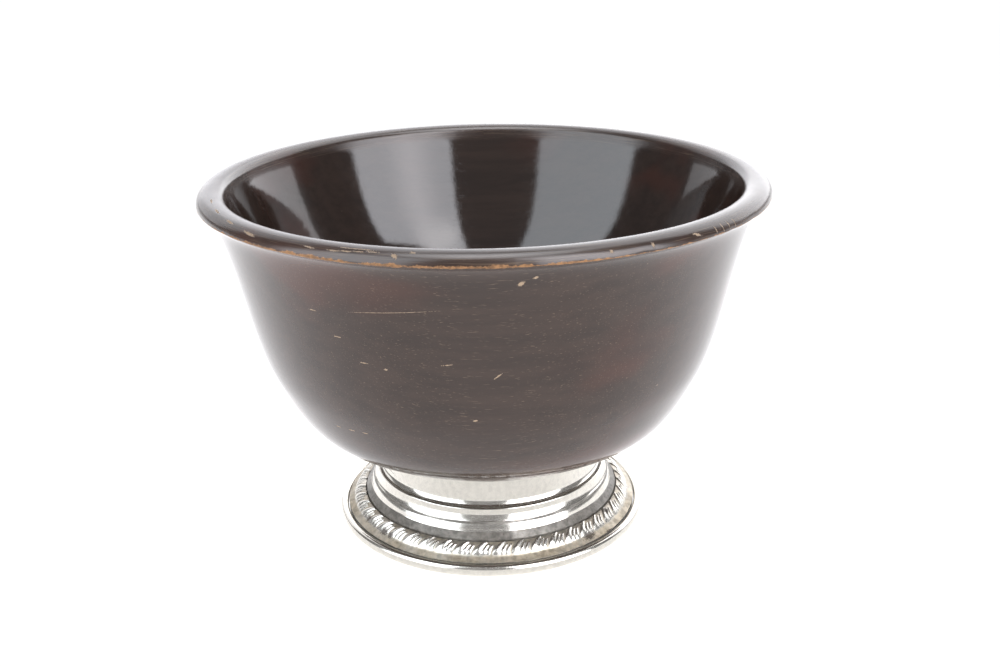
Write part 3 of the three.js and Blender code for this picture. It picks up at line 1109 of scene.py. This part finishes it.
@dataclass
class Fixing:
    """What closes the foot and holds it to the wood: the pan, the washer and the screw."""

    pan_finish: Silver
    steel: Plain
    filling: Plain
    cup_radius: float = 8.5 * MM
    screw_radius: float = 2.1 * MM
    screw_tip: float = 2.4 * MM
    thread_depth: float = 0.5 * MM
    thread_pitch: float = 2.1 * MM
    thread_turns: int = 5
    head_radius: float = 4 * MM
    head_edge: float = 0.8 * MM
    head_dome: float = 1.6 * MM
    slot_width: float = 1.2 * MM
    slot_depth: float = 1.1 * MM
    washer_radius: float = 6 * MM
    pan_dirt: tuple = (0.35, 0, 0, 0, 0, 0.8, 0.8, 0.1)
    rows_per_turn: int = 10
    steps: int = 192
    small_steps: int = 64

    def pan(self) -> Object:
        """Builds the sheet pan with its sunk cup."""
        outer = self.cup_radius + PAN_SHEET
        outline = [
            point(BORDER_OUTER_RADIUS, PAN_LIFT), point(BORDER_OUTER_RADIUS, PAN_LIFT + PAN_SHEET),
            point(outer, PAN_LIFT + PAN_SHEET), point(outer, CUP_ROOF + PAN_SHEET),
            point(PILOT_RADIUS, CUP_ROOF + PAN_SHEET), point(PILOT_RADIUS, CUP_ROOF),
            point(self.cup_radius, CUP_ROOF), point(self.cup_radius, PAN_LIFT),
        ]
        form = spun(outline, self.steps, Reading.RECESS, self.pan_dirt)
        return placed(form, "closing_pan", self.pan_finish.material(), "base_pan")

    def washer(self) -> Object:
        """Builds the washer under the roof of the cup."""
        outline = [
            point(PILOT_RADIUS, WASHER_BOTTOM), point(self.washer_radius, WASHER_BOTTOM),
            point(self.washer_radius, WASHER_TOP), point(PILOT_RADIUS, WASHER_TOP),
        ]
        form = spun(outline, self.small_steps)
        return placed(form, "plain_washer", self.steel.material(), "screw_washer")

    def screw(self) -> Object:
        """Builds the slotted wood screw with its thread."""
        head_top = WASHER_BOTTOM - FIT
        dome_level = head_top - self.head_edge
        tip = PILOT_TOP - FIT
        thread_top = tip - self.screw_tip
        thread_bottom = thread_top - self.thread_turns * self.thread_pitch
        rows = self.thread_turns * self.rows_per_turn
        dome = arc(point(0, dome_level), self.head_radius, self.head_dome, -pi / 2, 0, 10)
        core = self.screw_radius - self.thread_depth
        thread = [point(core, thread_bottom + (thread_top - thread_bottom) * row / rows)
                  for row in range(rows + 1)]
        outline = [
            point(0, dome_level - self.head_dome), *dome[1:], point(self.head_radius, head_top),
            point(self.screw_radius, head_top),
            point(self.screw_radius, thread_bottom - self.thread_pitch / 4), *thread, point(0, tip),
        ]
        form = spun(outline, self.small_steps)

        def threaded(radius: float, turn: float, height: float) -> Vector:
            """Returns where a point of the screw's side goes."""
            if not thread_bottom - TINY < height < thread_top + TINY:
                return point(radius, height)
            winding = (height - thread_bottom) / self.thread_pitch - turn / (2 * pi)
            return point(radius + self.thread_depth * abs(2 * (winding % 1) - 1), height)

        displaced(form, threaded)
        piece = placed(form, "slotted_screw", self.steel.material(), "centre_screw")
        self.cut_slot(piece, dome_level - self.head_dome)
        return piece

    def cut_slot(self, piece: Object, level: float) -> None:
        """Cuts the driver's slot across the screw's head from below.

        Args:
            piece: The screw.
            level: The level of the head's lowest point.
        """
        form = bmesh.new()
        size = Matrix.Diagonal((self.slot_width, 4 * self.head_radius, 2 * self.slot_depth, 1))
        bmesh.ops.create_cube(form, size=1, matrix=Matrix.Translation((0, 0, level)) @ size)
        cutter = added("slot_cutter", as_mesh(form, "slot_cutter"))
        cut = piece.modifiers.new("slot", "BOOLEAN")
        cut.operation, cut.object, cut.solver = "DIFFERENCE", cutter, "EXACT"
        bpy.context.view_layer.update()
        cutting = bpy.context.evaluated_depsgraph_get()
        slotted = bpy.data.meshes.new_from_object(piece.evaluated_get(cutting))
        piece.modifiers.remove(cut)
        piece.data = slotted
        bpy.data.objects.remove(cutter)

    def build(self) -> None:
        """Builds the three pieces and dresses the filling, which keeps its CAD shape."""
        self.pan()
        self.washer()
        self.screw()
        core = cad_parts["foot_core"]
        core.data.materials.clear()
        core.data.materials.append(self.filling.material())


@dataclass(frozen=True)
class Panel:
    """A patch of the room that polished things see, its angles in degrees.

    Its upper and lower edges fall by a share of the angle from its first side.
    """

    first: float
    last: float
    bottom: float
    top: float
    light: tuple
    soft: float = 1.5
    fall: float = 0


@dataclass
class Stage:
    """The white table and the room's lights."""

    reach: float = 3.2
    panels: tuple = (
        Panel(-120, 120, 46, 72, (0.36, 0.36, 0.37), 5),
        Panel(-34, 22, -10, 72, (0.30, 0.30, 0.31), 6),
        Panel(106, 134, -10, 24, (0.6, 0.6, 0.62), 4),
        Panel(108, 181, 13.4, 75, (3.2, 3.2, 3.3), 1, 0.29),
        Panel(-181, -150, -10, 62, (2.3, 2.3, 2.4), 5),
        Panel(-150, -120, 1.6, 48, (1.5, 1.5, 1.55), 1, -0.29),
        Panel(-181, 181, 69, 100, (5.4, 5.5, 5.7), 3),
        Panel(-181, 181, 82, 100, (8.6, 8.7, 9.0), 4),
        Panel(17.4, 70.7, -30, 66, (6.6, 6.7, 7.1), 1.5, 0.5),
        Panel(32, 48, 5, 64, (8.8, 8.7, 9.1), 9),
        Panel(21, 46, 40, 56, (9.9, 9.8, 10.1), 7),
        Panel(-82, -29.5, -10, 63, (4.4, 4.7, 5.0), 2),
    )
    dim: tuple = (0.14, 0.14, 0.145)
    table_tone: tuple = (0.8, 0.8, 0.8, 1)
    seen_tone: tuple = (0.22, 0.22, 0.23, 1)
    seen_glow: tuple = (0.95, 0.95, 0.95, 1)
    front_glare: tuple = (0.85, 0.85, 0.86, 1)
    back_glare: tuple = (1.4, 1.4, 1.43, 1)
    glare_turns: tuple = (radians(25), radians(110))
    world_light: tuple = (0.30, 0.30, 0.31, 1)
    lamp_rise: float = radians(28)
    lamp_distance: float = 1.2
    lamp_size: float = 0.9
    lamp_aim: float = 0.05

    def table(self) -> Object:
        """Builds the table, white to the camera but for the shadow on it, and clear from below."""
        form = bmesh.new()
        bmesh.ops.create_circle(form, cap_ends=True, segments=128, radius=self.reach)
        mesh = as_mesh(form, "table")
        graph = Finish("White table")
        camera = graph.add("ShaderNodeLightPath").outputs["Is Camera Ray"]
        below = graph.add("ShaderNodeNewGeometry").outputs["Backfacing"]
        turn = graph.math("ABSOLUTE", graph.here["Turn"])
        glare = graph.mix(graph.ramp(turn, *self.glare_turns), self.front_glare, self.back_glare)
        mesh.materials.append(graph.give({
            "Base Color": graph.mix(camera, self.table_tone, self.seen_tone),
            "Roughness": 1.0,
            "Specular IOR Level": 0.0,
            "Alpha": graph.minus(1, below),
            "Emission Color": graph.mix(camera, glare, self.seen_glow),
            "Emission Strength": 1.0,
        }))
        return added("table", mesh)

    def room(self) -> Object:
        """Builds the dome that only polished things see, with its softboxes and dark gaps."""
        form = bmesh.new()
        bmesh.ops.create_uvsphere(form, u_segments=96, v_segments=48, radius=self.reach * 1.02)
        bmesh.ops.reverse_faces(form, faces=form.faces)
        mesh = as_mesh(form, "room")
        graph = Finish("Room")
        here = graph.here
        turn = graph.times(here["Turn"], 180 / pi)
        rise = graph.times(graph.math("ARCTAN2", here["Height"], here["Radius"]), 180 / pi)
        glow = (*self.dim, 1)
        for panel in self.panels:
            level = rise
            if panel.fall:
                beyond = graph.minus(turn, panel.first)
                level = graph.plus(rise, graph.times(beyond, panel.fall))
            sideways = graph.band(turn, panel.first, panel.last, panel.soft)
            upwards = graph.band(level, panel.bottom, panel.top, panel.soft)
            glow = graph.mix(graph.times(sideways, upwards), glow, (*panel.light, 1))
        mesh.materials.append(graph.give({
            "Base Color": (0, 0, 0, 1),
            "Emission Color": glow,
            "Emission Strength": 1.0,
        }))
        unseen = ("camera", "diffuse", "transmission", "volume_scatter", "shadow")
        return hidden(added("room", mesh), *unseen)

    def lamp(self, name: str, turn: float, power: float) -> Object:
        """Builds a softbox that lights the wood but isn't mirrored.

        Args:
            name: The lamp's name.
            turn: Where it stands round the bowl, in degrees.
            power: Its power in watts.

        Returns:
            The lamp's object.
        """
        data = bpy.data.lights.new(name, "AREA")
        data.size = self.lamp_size
        data.energy = power
        lamp = added(name, data)
        around, up = radians(turn), self.lamp_rise
        aside = Vector((sin(around) * cos(up), -cos(around) * cos(up), sin(up)))
        spot = aside * self.lamp_distance
        facing = (UP * self.lamp_aim - spot).to_track_quat("-Z", "Y")
        lamp.matrix_world = Matrix.Translation(spot) @ facing.to_matrix().to_4x4()
        return hidden(lamp, "glossy", "camera")

    def world(self) -> None:
        """Makes the world white to the camera, glass and polish, and an even light for the rest."""
        world = bpy.data.worlds.new("Studio")
        world.use_nodes = True
        bpy.context.scene.world = world
        graph = Graph(world.node_tree)
        back = world.node_tree.nodes["Background"]
        path = graph.add("ShaderNodeLightPath").outputs
        kinds = ("Is Camera Ray", "Is Transmission Ray", "Is Glossy Ray")
        seen = graph.most(*(path[kind] for kind in kinds))
        graph.feed(back.inputs["Color"], graph.mix(seen, self.world_light, (1, 1, 1, 1)))
        graph.feed(back.inputs["Strength"], 1.0)

    def build(self) -> None:
        """Builds everything that isn't part of the bowl."""
        right = self.lamp("softbox_right", 52, 4)
        left = self.lamp("softbox_left", -46, 3)
        self.table()
        self.room()
        self.world()
        log.info("stage: table, room and two lamps")


@dataclass
class Viewpoint:
    """The photograph's camera."""

    place: tuple = (0.45 * MM, -316.49 * MM, 169.98 * MM)
    pitch: float = radians(20.44)
    yaw: float = radians(0.548)
    roll: float = radians(-1.051)
    lens: float = 42.995
    sensor_width: float = 36

    def build(self) -> None:
        """Builds the camera and makes it the scene's."""
        flat = cos(self.pitch)
        forward = Vector((sin(self.yaw) * flat, cos(self.yaw) * flat, -sin(self.pitch)))
        level = Vector((cos(self.yaw), -sin(self.yaw), 0))
        upright = level.cross(forward)
        right = cos(self.roll) * level + sin(self.roll) * upright
        up = cos(self.roll) * upright - sin(self.roll) * level
        data = bpy.data.cameras.new("camera")
        data.sensor_fit = "HORIZONTAL"
        data.sensor_width = self.sensor_width
        data.lens = self.lens
        camera = added("camera", data)
        axes = Matrix((right, up, -forward)).transposed().to_4x4()
        camera.matrix_world = Matrix.Translation(self.place) @ axes
        bpy.context.scene.camera = camera
        log.info("camera: lens %.1f mm", self.lens)


def main() -> None:
    """Builds every piece, then the stage and the camera."""
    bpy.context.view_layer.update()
    WoodenBowl(DarkWood()).build()
    stains = (
        Nick(57, 38, 1.2, 1.0), Nick(41, 40.5, 2.2, 0.9), Nick(51, 42, 1.4, 0.5),
        Nick(-60, 39.5, 1.2, 0.7), Nick(-48, 40, 1.6, 0.7), Nick(-44, 40, 0.9, 0.6),
    )
    cast = Silver("Cast silver", (0.64, 0.62, 0.57, 1), (0.54, 0.46, 0.34, 1), metallic=0.78,
                  crust=0.5, roughness=0.19, stains=stains)
    SilverFoot(Silver(), cast).build()
    Fixing(
        Silver("Dull silver", crust=0.5, roughness=0.3, wear=0.2),
        Plain("Dull steel", (0.32, 0.31, 0.30, 1), (0.50, 0.49, 0.47, 1), 0.42, 1.0),
        Plain("Filling", (0.26, 0.23, 0.19, 1), (0.36, 0.33, 0.28, 1), 0.95),
    ).build()
    Stage().build()
    Viewpoint().build()
    bpy.context.scene.view_settings.view_transform = "Standard"


if __name__ == "__main__":
    main()
